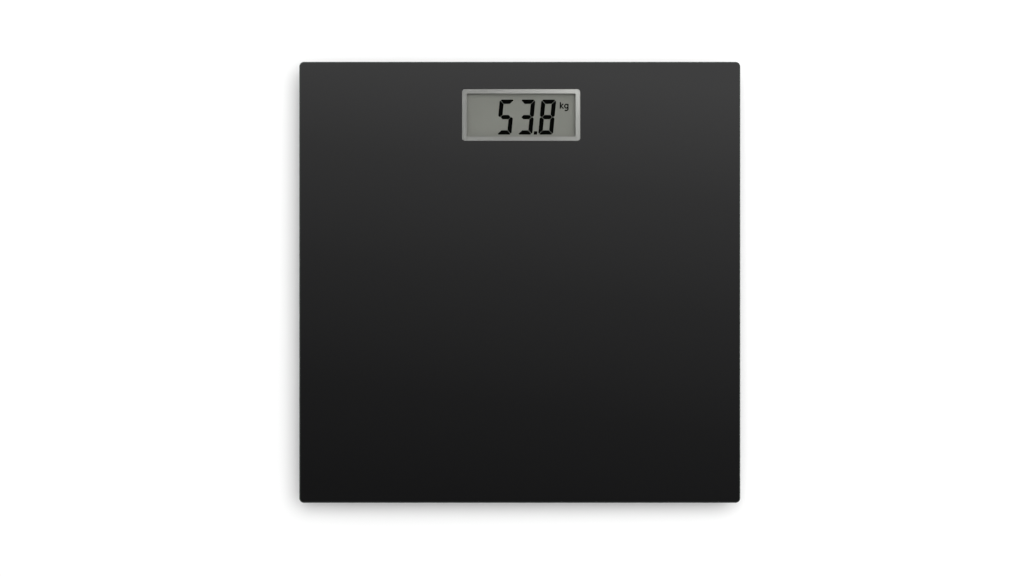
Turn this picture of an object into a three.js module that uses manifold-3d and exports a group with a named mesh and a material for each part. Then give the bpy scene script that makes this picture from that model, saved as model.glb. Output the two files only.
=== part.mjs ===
// A digital bathroom scale: a square glass platform on four load-cell feet, with the display, the circuit
// board and a coin cell in one slim housing glued under the glass. Millimetres, +Z up. The origin is on the
// floor under the middle of the platform, and +Y points to the display's edge.
import * as THREE from "three";
import { mergeVertices } from "three/addons/utils/BufferGeometryUtils.js";
import Module from "manifold-3d";

const wasm = await Module();
wasm.setup();

// ---- Driving dimensions ----

const SCALE_HEIGHT = 22;
const PLATFORM = { width: 285, depth: 285, corner: 3, thickness: 5, chamfer: 0.6 };
const INK_THICKNESS = 0.2;
const GLASS_BOTTOM = SCALE_HEIGHT - PLATFORM.thickness;
const GLUE_PLANE = GLASS_BOTTOM - INK_THICKNESS; // everything glued under the platform ends here

const DISPLAY = { x: 0.9, y: 108.3 }; // the middle of the window, the bezel and the panel
const WINDOW = { width: 76.5, depth: 33.6, corner: 2, ...DISPLAY }; // the clear patch in the ink
const BEZEL = { width: 78.1, depth: 35.2, corner: 2, ...DISPLAY, thickness: 3.5, gap: 0.2 };
const VIEW_AREA = { width: 70.5, depth: 28, corner: 0.6, ...DISPLAY }; // what the bezel leaves open
const LCD = { width: 76, depth: 32, ledge: 3.5, pane: 0.7 };
const LCD_TOP = GLUE_PLANE - BEZEL.thickness;
const LCD_BOTTOM = LCD_TOP - 2 * LCD.pane;
const ZEBRA = { length: 68, width: 2, setBack: 0.8 };
const CUSHION = { length: 68, width: 4, setBack: 12 };
const FENCE = { gap: 0.3, wall: 1.6 }; // round the panel and the bezel

const HOUSING = { width: 114, depth: 66, y: 101, corner: 6, wall: 2 };
const DECK_BOTTOM = GLUE_PLANE - 1.6; // the housing's deck lies under the glass, round the bezel
const HOUSING_SPLIT = 8; // where the rear cover meets the housing
const COVER = { bottom: 4.8, floor: 1.8, chamfer: 0.8 };
const COVER_INSIDE = COVER.bottom + COVER.floor;

const BOARD = { bottom: 9.6, thickness: 1.2, side: 46.5, front: 99.3, back: 130.5 };
const TONGUE = { left: -44, right: -8, front: 73 }; // the board's arm over the button
const BOARD_TOP = BOARD.bottom + BOARD.thickness;
const CHIP = { x: 4, y: 112, radius: 6, drop: 1.4, steps: 4 };
const CRYSTAL = { width: 8, depth: 3.4, corner: 1.6, x: -14, y: 115, height: 2 };

const CELL = { x: 30, y: 83.5, radius: 10, height: 3.2, bottom: 6.5, edge: 0.3 }; // a CR2032 coin cell
const CELL_LID = { inset: 1.2, step: 0.5 }; // the cell's smaller pole, which faces up
const CELL_TOP = CELL.bottom + CELL.height;
const CELL_BOX = { width: 25, front: 70.3, back: 95.6, bore: 10.5, roof: 11.1, top: 11.9 };
const CONTACT = { width: 4.5, thickness: 0.3, gap: 0.35, tabEnd: 103, foot: 0.4 };
const POSITIVE_X = CELL.x - 1.35;
const NEGATIVE_X = CELL.x + 6.15;
const FINGER = { end: -2, bend: 7 }; // the negative contact's spring, from the cell's middle

const DOOR = { width: 22.4, front: 71.2, thickness: 1.4, gap: 0.3 };
const DOOR_GRIP = { count: 3, length: 10, width: 0.7, depth: 0.3, pitch: 1.6, setBack: 3.35 };
const DOOR_RIB = { x: 5.25, width: 1.5, length: 13 };
const DOOR_NOTCH = { radius: 4.5, depth: 0.9 }; // for a fingernail
const HINGE = { y: 97, z: 5.9, barrel: 1.1, pin: 0.5, socket: 0.65, pinLength: 1.5, socketDepth: 1.7 };
const EAR = { wall: 1, depth: 4, top: 7.5 };

const BUTTON = { x: -26, y: 81, width: 11.4, depth: 6.4, corner: 3, face: 4.5, edge: 0.4, gap: 0.3 };
const BUTTON_RIM = { reach: 1, top: 7.3 };
const SWITCH = { side: 6, bottom: 7.9, plunger: 1.7, plungerTop: 8.5, bore: 1.85, boreTop: 9.1 };

const FOOT = { pitch: 113, flange: 24, wallOutside: 21, wallInside: 19.5, bottom: 6.5, lip: 18, lipTop: 7.5 };
const FOOT_DECK = GLUE_PLANE - 1.5;
const FOOT_CHAMFER = 0.8;
const FOOT_SIDES = 28;
const FOOT_BAR = { x: 11.25, width: 3.5, length: 22 };
const CUP = { radius: 17.6, collar: 18.9, collarTop: 8.6, inside: 16, bottom: 2, floorTop: 4, edge: 0.6 };
const CUP_POST = { radius: 4, tip: 3, tipHeight: 0.8 };
const PAD = { radius: 17, edge: 0.8, hollow: 6, rise: 0.6 };
const LOAD_CELL = { width: 28, depth: 28, corner: 4, bottom: 10.8, thickness: 1.8 };
const LOAD_CELL_TOP = LOAD_CELL.bottom + LOAD_CELL.thickness;
const LOAD_CELL_SLOT = { outer: 8, width: 2, root: 5, tip: -9 };
const GAUGE = { width: 9, depth: 5, corner: 1.2, y: 8, height: 1.4, edge: 0.4 };

const LEAD = { wire: 0.6, spacing: 1.1, z: 15.8, bend: 8, frontY: 78, entry: 53.5 };
const LEAD_SLOT = { width: 4.8, bottom: 14.8, inner: 49, footInner: 11 };
const DUCT = { width: 6.4, height: 2.6, wall: 0.8, gap: 4 };

const COVER_SCREWS = [[-52.5, 72.5], [52.5, 72.5], [-52.5, 129.5], [52.5, 129.5]];
const COVER_SCREW = { head: 2.3, headHeight: 1.5, shank: 1.1, seat: 6.4, length: 7.6, post: 3, boss: 3.6 };
const BOARD_SCREWS = [[-39, 77], [-43, 126.5], [43, 126.5]];
const BOARD_SCREW = { head: 1.9, headHeight: 1.2, shank: 0.8, seat: BOARD.bottom, length: 5.4, post: 2.5 };
const SCREW_EDGE = 0.4;
const RECESS = { share: 0.6, width: 0.6, depth: 0.6 }; // the cross in a screw's head
const SCREW_CLEARANCE = 0.3;
const PILOT = { gap: 0.15, beyond: 0.5 };

const LABEL = { width: 62, depth: 22, corner: 1.5, y: 117, thickness: 0.12 };

const PAST = 1; // how far a cutting shape reaches past the face that it opens
const SINK = 0.5; // how far a shape that is joined on reaches into its base
const HAIR = 0.1; // an overlap that leaves no skin between two cuts

// ---- Materials ----

const paint = (color, roughness, metalness = 0) =>
  new THREE.MeshStandardMaterial({ color, roughness, metalness });
const clearGlass = paint(0xdfe9e4, 0.03);
const blackInk = paint(0x101011, 0.3);
const silverPlastic = paint(0xa2a29e, 0.4, 0.2);
const lcdGrey = paint(0x80827a, 0.4);
const blackPlastic = paint(0x1b1b1c, 0.55);
const greyPlastic = paint(0x46484a, 0.5);
const blackRubber = paint(0x121212, 0.9);
const softGrey = paint(0x55575a, 0.85);
const boardGreen = paint(0x1f5a3a, 0.5);
const chipBlack = paint(0x0c0c0d, 0.35);
const platedSteel = paint(0xb9bbbd, 0.3, 1);
const whiteSilicone = paint(0xe6e6e2, 0.6);
const leadGrey = paint(0x8d8f92, 0.5);
const labelSilver = paint(0xb4b6b8, 0.45);

// ---- Shapes ----

// The limits of a length about its middle.
const around = (middle, length) => [middle - length / 2, middle + length / 2];

// A block between two limits along each axis.
function block([x0, x1], [y0, y1], [z0, z1]) {
  const box = new THREE.BoxGeometry(x1 - x0, y1 - y0, z1 - z0);
  return box.translate((x0 + x1) / 2, (y0 + y1) / 2, (z0 + z1) / 2);
}

// An upright round bar between two heights.
function post(radius, [z0, z1], x = 0, y = 0, sides = 16) {
  const bar = new THREE.CylinderGeometry(radius, radius, z1 - z0, sides);
  return bar.rotateX(Math.PI / 2).translate(x, y, (z0 + z1) / 2);
}

// A round bar that lies along X.
function barAlongX(radius, [x0, x1], y, z, sides = 16) {
  const bar = new THREE.CylinderGeometry(radius, radius, x1 - x0, sides);
  return bar.rotateZ(Math.PI / 2).translate((x0 + x1) / 2, y, z);
}

// A rectangle with round corners about (x, y), made bigger all round by grow.
function roundedRectangle({ width, depth, corner, x = 0, y = 0 }, grow = 0) {
  const radius = Math.max(corner + grow, 0.1);
  const right = x + width / 2 + grow - radius;
  const left = x - width / 2 - grow + radius;
  const back = y + depth / 2 + grow - radius;
  const front = y - depth / 2 - grow + radius;
  const quarter = Math.PI / 2;
  return new THREE.Shape()
    .absarc(right, back, radius, 0, quarter)
    .absarc(left, back, radius, quarter, 2 * quarter)
    .absarc(left, front, radius, 2 * quarter, 3 * quarter)
    .absarc(right, front, radius, 3 * quarter, 4 * quarter);
}

// An outline raised between two heights, with an optional chamfer all round both faces.
function plate(shape, [z0, z1], { chamfer = 0, curveSegments = 3 } = {}) {
  return new THREE.ExtrudeGeometry(shape, {
    depth: z1 - z0 - 2 * chamfer,
    curveSegments,
    bevelEnabled: chamfer > 0,
    bevelThickness: chamfer,
    bevelSize: chamfer,
    bevelOffset: -chamfer,
    bevelSegments: 1,
  }).translate(0, 0, z0 + chamfer);
}

// A body of revolution about Z, from [radius, height] points that run anticlockwise round the section.
function turned(profile, sides = FOOT_SIDES) {
  const points = profile.map(([radius, height]) => new THREE.Vector2(radius, height));
  return new THREE.LatheGeometry(points, sides).rotateX(Math.PI / 2);
}

function toManifold(geometry) {
  const bare = geometry.clone();
  bare.deleteAttribute("normal");
  bare.deleteAttribute("uv");
  const merged = mergeVertices(bare, 1e-4);
  return new wasm.Manifold(
    new wasm.Mesh({
      numProp: 3,
      vertProperties: merged.attributes.position.array,
      triVerts: new Uint32Array(merged.index.array),
    }),
  );
}

// The base with every geometry in add joined on, and then every geometry in cut taken away.
function carved(base, { add = [], cut = [] }) {
  let solid = toManifold(base);
  for (const extra of add) solid = solid.add(toManifold(extra));
  for (const tool of cut) solid = solid.subtract(toManifold(tool));
  const mesh = solid.getMesh();
  const geometry = new THREE.BufferGeometry();
  geometry.setAttribute("position", new THREE.BufferAttribute(mesh.vertProperties, 3));
  geometry.setIndex(new THREE.BufferAttribute(mesh.triVerts, 1));
  geometry.computeVertexNormals();
  return geometry;
}

// A path through points whose sections stand on those points and stay level from side to side.
class LevelRoute extends THREE.Curve {
  constructor(points) {
    super();
    this.points = points;
  }
  getPointAt(u) {
    return this.points[Math.round(u * (this.points.length - 1))].clone();
  }
  getTangentAt(u) {
    const i = Math.round(u * (this.points.length - 1));
    const here = this.points[i];
    const before = this.points[i - 1] ?? here;
    const after = this.points[i + 1] ?? here;
    const arriving = here.clone().sub(before).normalize();
    const leaving = after.clone().sub(here).normalize();
    return arriving.add(leaving).normalize();
  }
  computeFrenetFrames(segments) {
    const up = new THREE.Vector3(0, 0, 1);
    const tangents = Array.from({ length: segments + 1 }, (_, i) => this.getTangentAt(i / segments));
    const normals = tangents.map((tangent) => tangent.clone().cross(up).normalize());
    const binormals = tangents.map((tangent, i) => tangent.clone().cross(normals[i]));
    return { tangents, normals, binormals };
  }
}

function swept(section, points) {
  return new THREE.ExtrudeGeometry(section, {
    steps: points.length - 1,
    extrudePath: new LevelRoute(points),
    curveSegments: 2,
    bevelEnabled: false,
  });
}

// ---- Assembly ----

const scale = new THREE.Group();

function addPart(name, geometry, material, parent = scale) {
  const mesh = new THREE.Mesh(geometry, material);
  mesh.name = name;
  parent.add(mesh);
  return mesh;
}

// ---- Platform ----

function glassPlatform() {
  return plate(roundedRectangle(PLATFORM), [GLASS_BOTTOM, SCALE_HEIGHT], { chamfer: PLATFORM.chamfer });
}

// The ink covers the glass's flat underside and leaves the display's window clear.
function printedBacking() {
  const outline = roundedRectangle(PLATFORM, -PLATFORM.chamfer);
  outline.holes.push(roundedRectangle(WINDOW));
  return plate(outline, [GLUE_PLANE, GLASS_BOTTOM]);
}

addPart("glass_platform", glassPlatform(), clearGlass);
addPart("printed_backing", printedBacking(), blackInk);

// ---- Display ----

const [LCD_FRONT, LCD_BACK] = around(DISPLAY.y, LCD.depth);

function displayBezel() {
  const frame = roundedRectangle(BEZEL);
  frame.holes.push(roundedRectangle(VIEW_AREA));
  return plate(frame, [LCD_TOP, GLUE_PLANE]);
}

// Two panes, the upper one longer at the back, where its contacts face the board.
function lcdPanel() {
  const across = around(DISPLAY.x, LCD.width);
  const middle = LCD_TOP - LCD.pane;
  const upper = block(across, [LCD_FRONT, LCD_BACK + LCD.ledge], [middle, LCD_TOP]);
  const lower = block(across, [LCD_FRONT, LCD_BACK], [LCD_BOTTOM, middle]);
  return carved(upper, { add: [lower] });
}

// The striped rubber strip that joins the panel's contacts to the board's.
function zebraStrip() {
  const front = LCD_BACK + ZEBRA.setBack;
  const heights = [BOARD_TOP, LCD_TOP - LCD.pane];
  return block(around(DISPLAY.x, ZEBRA.length), [front, front + ZEBRA.width], heights);
}

// The foam strip that keeps the panel's front edge up against the bezel.
function lcdCushion() {
  const front = LCD_FRONT + CUSHION.setBack;
  return block(around(DISPLAY.x, CUSHION.length), [front, front + CUSHION.width], [BOARD_TOP, LCD_BOTTOM]);
}

addPart("display_bezel", displayBezel(), silverPlastic);
addPart("lcd_panel", lcdPanel(), lcdGrey);
addPart("zebra_strip", zebraStrip(), softGrey);
addPart("lcd_cushion", lcdCushion(), softGrey);

// ---- Circuit board ----

function circuitBoard() {
  const corners = [
    [-BOARD.side, BOARD.front],
    [TONGUE.left, BOARD.front],
    [TONGUE.left, TONGUE.front],
    [TONGUE.right, TONGUE.front],
    [TONGUE.right, BOARD.front],
    [BOARD.side, BOARD.front],
    [BOARD.side, BOARD.back],
    [-BOARD.side, BOARD.back],
  ];
  const outline = new THREE.Shape(corners.map(([x, y]) => new THREE.Vector2(x, y)));
  for (const [x, y] of BOARD_SCREWS) {
    outline.holes.push(new THREE.Path().absarc(x, y, BOARD_SCREW.shank + SCREW_CLEARANCE, 0, 2 * Math.PI));
  }
  return plate(outline, [BOARD.bottom, BOARD_TOP], { curveSegments: 6 });
}

// The controller under its drop of black epoxy, hanging from the board.
function controllerChip() {
  const { x, y, radius, drop, steps } = CHIP;
  const dome = Array.from({ length: steps + 1 }, (_, i) => {
    const angle = ((i / steps) * Math.PI) / 2;
    return [radius * Math.sin(angle), -drop * Math.cos(angle)];
  });
  return turned([...dome, [0, 0]], 20).translate(x, y, BOARD.bottom);
}

function crystal() {
  return plate(roundedRectangle(CRYSTAL), [BOARD.bottom - CRYSTAL.height, BOARD.bottom]);
}

function switchBody() {
  const { side, bottom } = SWITCH;
  const body = block(around(BUTTON.x, side), around(BUTTON.y, side), [bottom, BOARD.bottom]);
  const bore = post(SWITCH.bore, [SWITCH.bottom - PAST, SWITCH.boreTop], BUTTON.x, BUTTON.y);
  return carved(body, { cut: [bore] });
}

function switchPlunger() {
  return post(SWITCH.plunger, [BUTTON_RIM.top, SWITCH.plungerTop], BUTTON.x, BUTTON.y);
}

// The unit button: a key through the cover, with a rim that keeps it from falling out.
function unitButton() {
  const key = plate(roundedRectangle(BUTTON), [BUTTON.face, BUTTON_RIM.top], { chamfer: BUTTON.edge });
  const rim = plate(roundedRectangle(BUTTON, BUTTON_RIM.reach), [COVER_INSIDE, BUTTON_RIM.top]);
  return carved(key, { add: [rim] });
}

addPart("circuit_board", circuitBoard(), boardGreen);
addPart("controller_chip", controllerChip(), chipBlack);
addPart("crystal", crystal(), platedSteel);
addPart("switch_body", switchBody(), chipBlack);
addPart("switch_plunger", switchPlunger(), greyPlastic);
addPart("unit_button", unitButton(), greyPlastic);

// ---- Housing and rear cover ----

function housingOutline(inset) {
  return roundedRectangle(HOUSING, -inset);
}

// Slots that let the leads in through the side walls.
function leadSlots() {
  const outer = HOUSING.width / 2 + PAST;
  const heights = [LEAD_SLOT.bottom, GLUE_PLANE + PAST];
  return [FOOT.pitch, LEAD.frontY].flatMap((y) => [
    block([-outer, -LEAD_SLOT.inner], around(y, LEAD_SLOT.width), heights),
    block([LEAD_SLOT.inner, outer], around(y, LEAD_SLOT.width), heights),
  ]);
}

function postsAt(places, radius, heights, sides) {
  return places.map(([x, y]) => post(radius, heights, x, y, sides));
}

function screwPilots(places, screw) {
  const tip = screw.seat + screw.length - screw.headHeight;
  return postsAt(places, screw.shank + PILOT.gap, [screw.seat, tip + PILOT.beyond], 12);
}

// The open box glued to the glass: its deck frames the bezel, and a fence under the deck holds the panel.
function displayHousing() {
  const shell = carved(plate(housingOutline(0), [HOUSING_SPLIT, GLUE_PLANE]), {
    cut: [plate(housingOutline(HOUSING.wall), [HOUSING_SPLIT - PAST, DECK_BOTTOM])],
  });
  const front = DISPLAY.y - BEZEL.depth / 2;
  const back = LCD_BACK + LCD.ledge;
  const room = { width: BEZEL.width, depth: back - front, corner: 0, x: DISPLAY.x, y: (front + back) / 2 };
  return carved(shell, {
    add: [
      plate(roundedRectangle(room, FENCE.gap + FENCE.wall), [LCD_BOTTOM, DECK_BOTTOM]),
      ...postsAt(COVER_SCREWS, COVER_SCREW.post, [HOUSING_SPLIT, DECK_BOTTOM]),
      ...postsAt(BOARD_SCREWS, BOARD_SCREW.post, [BOARD_TOP, DECK_BOTTOM]),
    ],
    cut: [
      plate(roundedRectangle(room, FENCE.gap), [LCD_BOTTOM - PAST, DECK_BOTTOM]),
      plate(roundedRectangle(BEZEL, BEZEL.gap), [DECK_BOTTOM - HAIR, GLUE_PLANE + PAST]),
      ...screwPilots(COVER_SCREWS, COVER_SCREW),
      ...screwPilots(BOARD_SCREWS, BOARD_SCREW),
      ...leadSlots(),
    ],
  });
}

// The battery box over the door: a round bore under a roof, with ways out at the back for both contacts.
function cellBoxCuts() {
  const across = CONTACT.width + 2 * CONTACT.gap;
  const along = [CELL.y + CELL.radius / 2, CELL_BOX.back + PAST];
  return [
    post(CELL_BOX.bore, [COVER_INSIDE - PAST, CELL_BOX.roof], CELL.x, CELL.y, 40),
    block(around(POSITIVE_X, across), along, [COVER_INSIDE, CELL_BOX.roof]),
    block(around(NEGATIVE_X, across), along, [BOARD_TOP - CONTACT.gap, CELL_BOX.roof]),
  ];
}

const DOOR_GAP_HALF = DOOR.width / 2 + DOOR.gap; // from the door's middle to the sides of its opening

// Bearings on both sides of the door for its hinge pins.
function hingeEars() {
  const thickness = HINGE.socketDepth + EAR.wall;
  const middle = DOOR_GAP_HALF + thickness / 2;
  return [-middle, middle].map((offset) =>
    block(around(CELL.x + offset, thickness), around(HINGE.y, EAR.depth), [COVER_INSIDE - SINK, EAR.top]),
  );
}

// The opening for the door, with room above it for the barrel, bores for the pins and a notch in front.
function doorCuts() {
  const across = around(CELL.x, 2 * DOOR_GAP_HALF);
  const front = DOOR.front - DOOR.gap;
  const back = HINGE.y + HINGE.barrel + DOOR.gap;
  const notch = [COVER.bottom - PAST, COVER.bottom + DOOR_NOTCH.depth];
  return [
    block(across, [front, back], [COVER.bottom - PAST, COVER_INSIDE]),
    block(across, [CELL_BOX.back + HAIR, back], [COVER.bottom, HOUSING_SPLIT]),
    barAlongX(HINGE.socket, around(CELL.x, 2 * (DOOR_GAP_HALF + HINGE.socketDepth)), HINGE.y, HINGE.z, 12),
    post(DOOR_NOTCH.radius, notch, CELL.x, DOOR.front - PAST, 20),
  ];
}

// The flat tray with a chamfer round its underside.
function coverTray() {
  const { bottom, chamfer } = COVER;
  const solid = plate(housingOutline(0), [bottom, HOUSING_SPLIT + chamfer], { chamfer });
  const above = plate(housingOutline(-PAST), [HOUSING_SPLIT, HOUSING_SPLIT + chamfer + PAST]);
  const hollow = plate(housingOutline(HOUSING.wall), [COVER_INSIDE, HOUSING_SPLIT + PAST]);
  return carved(solid, { cut: [above, hollow] });
}

function rearCover() {
  const { bottom } = COVER;
  const { boss, head, shank, seat } = COVER_SCREW;
  const { front, back, top, width } = CELL_BOX;
  return carved(coverTray(), {
    add: [
      block(around(CELL.x, width), [front, back], [COVER_INSIDE - SINK, top]),
      ...hingeEars(),
      ...postsAt(COVER_SCREWS, boss, [COVER_INSIDE - SINK, HOUSING_SPLIT]),
    ],
    cut: [
      ...doorCuts(),
      ...cellBoxCuts(),
      plate(roundedRectangle(BUTTON, BUTTON.gap), [bottom - PAST, COVER_INSIDE + PAST]),
      ...postsAt(COVER_SCREWS, head + SCREW_CLEARANCE, [bottom - PAST, seat]),
      ...postsAt(COVER_SCREWS, shank + SCREW_CLEARANCE, [bottom, HOUSING_SPLIT + PAST], 12),
    ],
  });
}

function ratingLabel() {
  return plate(roundedRectangle(LABEL), [COVER.bottom - LABEL.thickness, COVER.bottom]);
}

addPart("display_housing", displayHousing(), blackPlastic);
addPart("rear_cover", rearCover(), blackPlastic);
addPart("rating_label", ratingLabel(), labelSilver);

// ---- Battery ----

function coinCell() {
  const { radius, height, edge } = CELL;
  return turned(
    [
      [0, 0],
      [radius - edge, 0],
      [radius, edge],
      [radius, height - CELL_LID.step],
      [radius - CELL_LID.inset, height],
      [0, height],
    ],
    32,
  ).translate(CELL.x, CELL.y, CELL.bottom);
}

// A bent strip of contact metal about the middle x, from points round its thickness seen along X.
function bentStrip(x, points) {
  const side = new THREE.Shape(points.map(([y, z]) => new THREE.Vector2(y, z)));
  const strip = new THREE.ExtrudeGeometry(side, { depth: CONTACT.width, bevelEnabled: false });
  return strip.rotateX(Math.PI / 2).rotateZ(Math.PI / 2).translate(x - CONTACT.width / 2, 0, 0);
}

// A leaf that stands against the cell's rim, with a tab on top of the board.
function positiveContact() {
  const face = CELL.y + CELL.radius;
  const { thickness, tabEnd, foot } = CONTACT;
  return bentStrip(POSITIVE_X, [
    [face, COVER_INSIDE + foot],
    [face + thickness, COVER_INSIDE + foot],
    [face + thickness, BOARD_TOP],
    [tabEnd, BOARD_TOP],
    [tabEnd, BOARD_TOP + thickness],
    [face, BOARD_TOP + thickness],
  ]);
}

// A tab on top of the board that ends in a spring finger on the cell's inner face.
function negativeContact() {
  const { thickness, tabEnd } = CONTACT;
  const end = CELL.y + FINGER.end;
  const bend = CELL.y + FINGER.bend;
  return bentStrip(NEGATIVE_X, [
    [end, CELL_TOP],
    [CELL.y, CELL_TOP],
    [bend, BOARD_TOP],
    [tabEnd, BOARD_TOP],
    [tabEnd, BOARD_TOP + thickness],
    [bend, BOARD_TOP + thickness],
    [CELL.y, CELL_TOP + thickness],
    [end, CELL_TOP + thickness],
  ]);
}

function doorGrips() {
  const { count, length, width, depth, pitch, setBack } = DOOR_GRIP;
  const heights = [COVER.bottom - PAST, COVER.bottom + depth];
  return Array.from({ length: count }, (_, i) =>
    block(around(CELL.x, length), around(DOOR.front + setBack + i * pitch, width), heights),
  );
}

// The door: a plate with two pressing ribs inside, and a barrel with a pin at each end.
function batteryDoor() {
  const across = around(CELL.x, DOOR.width);
  const top = COVER.bottom + DOOR.thickness;
  const ribHeights = [top - SINK, CELL.bottom];
  const ribs = [-DOOR_RIB.x, DOOR_RIB.x].map((offset) =>
    block(around(CELL.x + offset, DOOR_RIB.width), around(CELL.y, DOOR_RIB.length), ribHeights),
  );
  return carved(block(across, [DOOR.front, HINGE.y], [COVER.bottom, top]), {
    add: [
      barAlongX(HINGE.barrel, across, HINGE.y, HINGE.z),
      barAlongX(HINGE.pin, around(CELL.x, DOOR.width + 2 * HINGE.pinLength), HINGE.y, HINGE.z, 12),
      ...ribs,
    ],
    cut: doorGrips(),
  });
}

addPart("coin_cell", coinCell(), platedSteel);
addPart("battery_contact_positive", positiveContact(), platedSteel);
addPart("battery_contact_negative", negativeContact(), platedSteel);
addPart("battery_door", batteryDoor(), blackPlastic);

// ---- Screws ----

// A pan-head screw that points up, with a cross recess in the head below it.
function screwGeometry({ head, headHeight, shank, length }) {
  const reach = 2 * RECESS.share * head;
  const heights = [-PAST, RECESS.depth];
  const body = [[0, 0], [head - SCREW_EDGE, 0], [head, SCREW_EDGE], [head, headHeight], [0, headHeight]];
  return carved(turned(body, 14), {
    add: [post(shank, [headHeight / 2, length], 0, 0, 12)],
    cut: [
      block(around(0, reach), around(0, RECESS.width), heights),
      block(around(0, RECESS.width), around(0, reach), heights),
    ],
  });
}

function addScrews(prefix, places, screw) {
  const geometry = screwGeometry(screw);
  places.forEach(([x, y], i) => {
    const mesh = addPart(`${prefix}_${i + 1}`, geometry, platedSteel);
    mesh.position.set(x, y, screw.seat - screw.headHeight);
  });
}

addScrews("cover_screw", COVER_SCREWS, COVER_SCREW);
addScrews("board_screw", BOARD_SCREWS, BOARD_SCREW);

// ---- Feet ----

const FEET = [
  { place: "rear_left", x: -FOOT.pitch, y: FOOT.pitch, turn: -Math.PI / 2 },
  { place: "rear_right", x: FOOT.pitch, y: FOOT.pitch, turn: Math.PI / 2 },
  { place: "front_left", x: -FOOT.pitch, y: -FOOT.pitch, turn: 0 },
  { place: "front_right", x: FOOT.pitch, y: -FOOT.pitch, turn: 0 },
];

// Glued to the glass, open below. Two bars under the deck bear on the load cell's frame, a lip holds the cup
// in, and a slot on the +Y side lets the lead out.
function footHousing() {
  const { flange, wallOutside, wallInside, bottom, lip, lipTop } = FOOT;
  const body = turned([
    [0, FOOT_DECK],
    [wallInside, FOOT_DECK],
    [wallInside, lipTop],
    [lip, lipTop],
    [lip, bottom],
    [wallOutside - FOOT_CHAMFER, bottom],
    [wallOutside, bottom + FOOT_CHAMFER],
    [wallOutside, FOOT_DECK],
    [flange, FOOT_DECK],
    [flange, GLUE_PLANE],
    [0, GLUE_PLANE],
  ]);
  const along = [LEAD_SLOT.footInner, flange + PAST];
  const slot = block(around(0, LEAD_SLOT.width), along, [LEAD_SLOT.bottom, GLUE_PLANE + PAST]);
  const bars = [-FOOT_BAR.x, FOOT_BAR.x].map((x) =>
    block(around(x, FOOT_BAR.width), around(0, FOOT_BAR.length), [LOAD_CELL_TOP, FOOT_DECK + SINK]),
  );
  return carved(body, { add: bars, cut: [slot] });
}

// A square spring-steel plate. A slot round three sides frees the tongue that the foot presses on.
function loadCell() {
  const { outer, width, root, tip } = LOAD_CELL_SLOT;
  const inner = outer - width;
  const slot = [
    [-outer, root],
    [-outer, tip],
    [outer, tip],
    [outer, root],
    [inner, root],
    [inner, tip + width],
    [-inner, tip + width],
    [-inner, root],
  ];
  const outline = roundedRectangle(LOAD_CELL);
  outline.holes.push(new THREE.Path(slot.map(([x, y]) => new THREE.Vector2(x, y))));
  return plate(outline, [LOAD_CELL.bottom, LOAD_CELL_TOP]);
}

// The gauges at the tongue's root, under a cushion of silicone with a chamfer round its top.
function strainGauge() {
  const { width, depth, y, height, edge } = GAUGE;
  const heights = [LOAD_CELL_TOP - edge, LOAD_CELL_TOP + height];
  const body = plate(roundedRectangle(GAUGE), heights, { chamfer: edge });
  const below = [LOAD_CELL_TOP - edge - PAST, LOAD_CELL_TOP];
  return carved(body, { cut: [block(around(0, width + PAST), around(y, depth + PAST), below)] });
}

// The moving cup: its collar rests on the housing's lip and its middle post presses the load cell.
function footCup() {
  return turned([
    [0, CUP.bottom],
    [CUP.radius - CUP.edge, CUP.bottom],
    [CUP.radius, CUP.bottom + CUP.edge],
    [CUP.radius, FOOT.lipTop],
    [CUP.collar, FOOT.lipTop],
    [CUP.collar, CUP.collarTop],
    [CUP.inside, CUP.collarTop],
    [CUP.inside, CUP.floorTop],
    [CUP_POST.radius, CUP.floorTop],
    [CUP_POST.radius, LOAD_CELL.bottom - CUP_POST.tipHeight],
    [CUP_POST.tip, LOAD_CELL.bottom],
    [0, LOAD_CELL.bottom],
  ]);
}

// A rubber disc with a broad flat ring that stands on the floor.
function footPad() {
  const { radius, edge, hollow, rise } = PAD;
  return turned([
    [0, rise],
    [hollow, rise],
    [hollow + rise, 0],
    [radius - edge, 0],
    [radius, edge],
    [radius, CUP.bottom],
    [0, CUP.bottom],
  ]);
}

function addFoot({ place, x, y, turn }) {
  const foot = new THREE.Group();
  foot.position.set(x, y, 0);
  foot.rotation.z = turn;
  scale.add(foot);
  addPart(`foot_housing_${place}`, footHousing(), blackPlastic, foot);
  addPart(`load_cell_${place}`, loadCell(), platedSteel, foot);
  addPart(`strain_gauge_${place}`, strainGauge(), whiteSilicone, foot);
  addPart(`foot_cup_${place}`, footCup(), greyPlastic, foot);
  addPart(`foot_pad_${place}`, footPad(), blackRubber, foot);
}

FEET.forEach(addFoot);

// ---- Leads and ducts ----

// Three round wires side by side, fused.
function ribbonSection() {
  const { wire, spacing } = LEAD;
  const notch = Math.acos(spacing / 2 / wire);
  return new THREE.Shape()
    .absarc(spacing, 0, wire, notch - Math.PI, Math.PI - notch)
    .absarc(0, 0, wire, notch, Math.PI - notch)
    .absarc(-spacing, 0, wire, notch, 2 * Math.PI - notch)
    .absarc(0, 0, wire, Math.PI + notch, 2 * Math.PI - notch);
}

// A channel open towards the glass.
function ductSection() {
  const half = DUCT.width / 2;
  const { height, wall } = DUCT;
  const corners = [
    [-half, 0],
    [half, 0],
    [half, height],
    [half - wall, height],
    [half - wall, wall],
    [wall - half, wall],
    [wall - half, height],
    [-half, height],
  ];
  return new THREE.Shape(corners.map(([x, y]) => new THREE.Vector2(x, y)));
}

const point = (x, y, z) => new THREE.Vector3(x, y, z);

// A quarter turn about (x, y) that starts at angle from and turns left.
function quarterTurn(x, y, z, radius, from, steps = 4) {
  return Array.from({ length: steps + 1 }, (_, i) => {
    const angle = from + ((i / steps) * Math.PI) / 2;
    return point(x + radius * Math.cos(angle), y + radius * Math.sin(angle), z);
  });
}

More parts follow.
